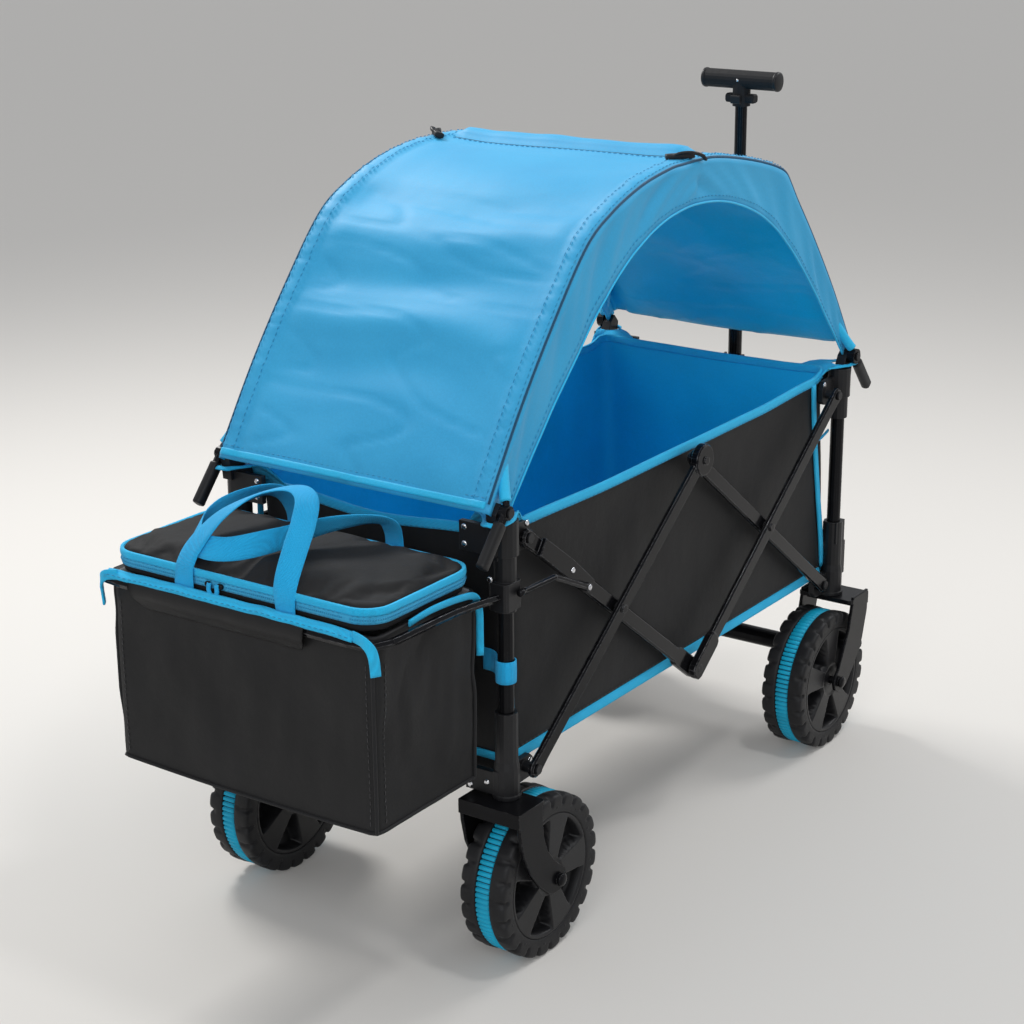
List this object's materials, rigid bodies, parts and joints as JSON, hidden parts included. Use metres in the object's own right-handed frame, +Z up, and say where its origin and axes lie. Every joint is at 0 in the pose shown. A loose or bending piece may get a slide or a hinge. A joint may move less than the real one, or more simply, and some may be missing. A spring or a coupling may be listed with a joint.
{
  "type": "folding pull wagon",
  "caption": "Folding pull wagon with scissor frame, sewn open tub, arched canopy, cooler bag on a rack and telescoping handle.",
  "frame": {"origin": "on the floor, under the middle of the overall box; the middle of the wheelbase is at y = 0.0978", "axes": "+Z up; long axis on Y with the pull handle at +Y and the cooler bag at -Y; +X is the wagon's right-hand scissor side"},
  "size_m": [0.532, 1.2408, 1.04],
  "materials": {
    "black_metal": "gloss",
    "black_plastic": "matte",
    "tread": "matte",
    "band": "matte",
    "blue_fabric": "matte",
    "black_fabric": "matte"
  },
  "bodies": {
    "near_frame": {"near_bracket_right": "black_plastic", "near_bracket_left": "black_plastic", "near_post_right": "black_metal", "near_post_left": "black_metal", "near_cross_tube": "black_metal"},
    "near_low_bars": {"near_low_bar_right": "black_metal", "near_low_bar_left": "black_metal"},
    "far_low_bars": {"far_low_bar_right": "black_metal", "far_low_bar_left": "black_metal"},
    "near_high_bars": {"near_high_bar_right": "black_metal", "near_high_bar_left": "black_metal"},
    "far_high_bars": {"far_high_bar_right": "black_metal", "far_high_bar_left": "black_metal"},
    "far_frame": {"far_bracket_right": "black_plastic", "far_bracket_left": "black_plastic", "far_post_right": "black_metal", "far_post_left": "black_metal", "far_fork_right": "black_metal", "far_fork_left": "black_metal", "far_cross_tube": "black_metal", "far_axle_tube": "black_metal", "handle_bracket": "black_metal"},
    "near_top": {"near_hub_right": "black_plastic", "near_hub_left": "black_plastic", "tub_side_right": "black_fabric", "tub_side_left": "black_fabric", "tub_floor": "black_fabric", "tub_near_end": "black_fabric", "bag_rack": "black_metal", "bag_body": "black_fabric"},
    "far_top": {"far_hub_right": "black_plastic", "far_hub_left": "black_plastic", "far_top_tube": "black_plastic", "tub_far_end": "black_fabric"},
    "bag_lid": {"bag_lid": "black_fabric"},
    "canopy_near": {"canopy_near_cover": "blue_fabric", "canopy_near_pole": "black_metal"},
    "canopy_far": {"canopy_far_cover": "blue_fabric", "canopy_far_pole": "black_metal"},
    "handle_lower": {"handle_outer_tube": "black_metal"},
    "handle_upper": {"handle_inner_tube": "black_metal", "handle_grip": "black_plastic"},
    "handle_trigger": {"handle_trigger": "black_plastic"},
    "near_caster_right": {"near_fork_right": "black_metal"},
    "near_wheel_right": {"near_wheel_core_right": "black_plastic", "near_tyre_right": "tread", "near_wheel_band_right": "band"},
    "far_wheel_right": {"far_wheel_core_right": "black_plastic", "far_tyre_right": "tread", "far_wheel_band_right": "band"},
    "near_caster_left": {"near_fork_left": "black_metal"},
    "near_wheel_left": {"near_wheel_core_left": "black_plastic", "near_tyre_left": "tread", "near_wheel_band_left": "band"},
    "far_wheel_left": {"far_wheel_core_left": "black_plastic", "far_tyre_left": "tread", "far_wheel_band_left": "band"}
  },
  "joints": [
    {"name": "fold", "type": "hinge", "parent": "near_frame", "child": "near_low_bars", "pos_m": [0, -0.3122, 0.262], "axis": [1, 0, 0], "range_deg": [0, 37.9], "deforming": ["tub_side_right", "tub_side_left", "tub_floor"]},
    {"name": "middle_top", "type": "hinge", "parent": "near_low_bars", "child": "far_low_bars", "pos_m": [0, 0.0978, 0.572], "axis": [1, 0, 0], "range_deg": [-76, 0]},
    {"name": "far_bottom", "type": "hinge", "parent": "far_low_bars", "child": "far_frame", "pos_m": [0, 0.5078, 0.262], "axis": [1, 0, 0], "range_deg": [0, 38]},
    {"name": "near_crossing", "type": "hinge", "parent": "near_low_bars", "child": "near_high_bars", "pos_m": [0, -0.1072, 0.417], "axis": [1, 0, 0], "range_deg": [-76, 0]},
    {"name": "near_top_pivot", "type": "hinge", "parent": "near_high_bars", "child": "near_top", "pos_m": [0, -0.3122, 0.572], "axis": [1, 0, 0], "range_deg": [0, 38]},
    {"name": "far_crossing", "type": "hinge", "parent": "far_low_bars", "child": "far_high_bars", "pos_m": [0, 0.3028, 0.417], "axis": [1, 0, 0], "range_deg": [0, 76]},
    {"name": "far_top_pivot", "type": "hinge", "parent": "far_high_bars", "child": "far_top", "pos_m": [0, 0.5078, 0.572], "axis": [1, 0, 0], "range_deg": [-38, 0]},
    {"name": "canopy_near_foot", "type": "hinge", "parent": "near_top", "child": "canopy_near", "pos_m": [0, -0.3702, 0.622], "axis": [1, 0, 0], "range_deg": [0, 35]},
    {"name": "canopy_ridge", "type": "hinge", "parent": "canopy_near", "child": "canopy_far", "pos_m": [0, 0.0978, 0.972], "axis": [1, 0, 0], "range_deg": [-69, 0], "deforming": ["canopy_near_cover", "canopy_far_cover"]},
    {"name": "bag_lid_hinge", "type": "hinge", "parent": "near_top", "child": "bag_lid", "pos_m": [0, -0.4022, 0.531], "axis": [-1, 0, 0], "range_deg": [0, 60]},
    {"name": "handle_pivot", "type": "hinge", "parent": "far_frame", "child": "handle_lower", "pos_m": [0, 0.6028, 0.238], "axis": [1, 0, 0], "range_deg": [-100, 0], "stiffness_Nm_per_rad": 25},
    {"name": "handle_slide", "type": "slide", "parent": "handle_lower", "child": "handle_upper", "axis": [0, 0, 1], "range_m": [-0.32, 0], "stiffness_N_per_m": 900},
    {"name": "trigger_pull", "type": "slide", "parent": "handle_upper", "child": "handle_trigger", "axis": [0, 0, 1], "range_m": [0, 0.006], "stiffness_N_per_m": 200},
    {"name": "caster_swivel_right", "type": "hinge", "parent": "near_frame", "child": "near_caster_right", "pos_m": [0.215, -0.3522, 0.243], "axis": [0, 0, 1], "continuous": true},
    {"name": "near_wheel_spin_right", "type": "hinge", "parent": "near_caster_right", "child": "near_wheel_right", "pos_m": [0.215, -0.3022, 0.11], "axis": [1, 0, 0], "continuous": true},
    {"name": "caster_swivel_left", "type": "hinge", "parent": "near_frame", "child": "near_caster_left", "pos_m": [-0.215, -0.3522, 0.243], "axis": [0, 0, 1], "continuous": true},
    {"name": "near_wheel_spin_left", "type": "hinge", "parent": "near_caster_left", "child": "near_wheel_left", "pos_m": [-0.215, -0.3022, 0.11], "axis": [1, 0, 0], "continuous": true},
    {"name": "far_wheel_spin_right", "type": "hinge", "parent": "far_frame", "child": "far_wheel_right", "pos_m": [0.215, 0.4978, 0.11], "axis": [1, 0, 0], "continuous": true},
    {"name": "far_wheel_spin_left", "type": "hinge", "parent": "far_frame", "child": "far_wheel_left", "pos_m": [-0.215, 0.4978, 0.11], "axis": [1, 0, 0], "continuous": true}
  ],
  "couplings": [
    {"joint": "middle_top", "follows": "fold", "ratio": -2},
    {"joint": "far_bottom", "follows": "fold", "ratio": 1},
    {"joint": "near_crossing", "follows": "fold", "ratio": -2},
    {"joint": "near_top_pivot", "follows": "fold", "ratio": 1},
    {"joint": "far_crossing", "follows": "fold", "ratio": 2},
    {"joint": "far_top_pivot", "follows": "fold", "ratio": -1},
    {"joint": "canopy_near_foot", "follows": "fold", "ratio": 0.9005},
    {"joint": "canopy_ridge", "follows": "fold", "ratio": -1.801}
  ]
}
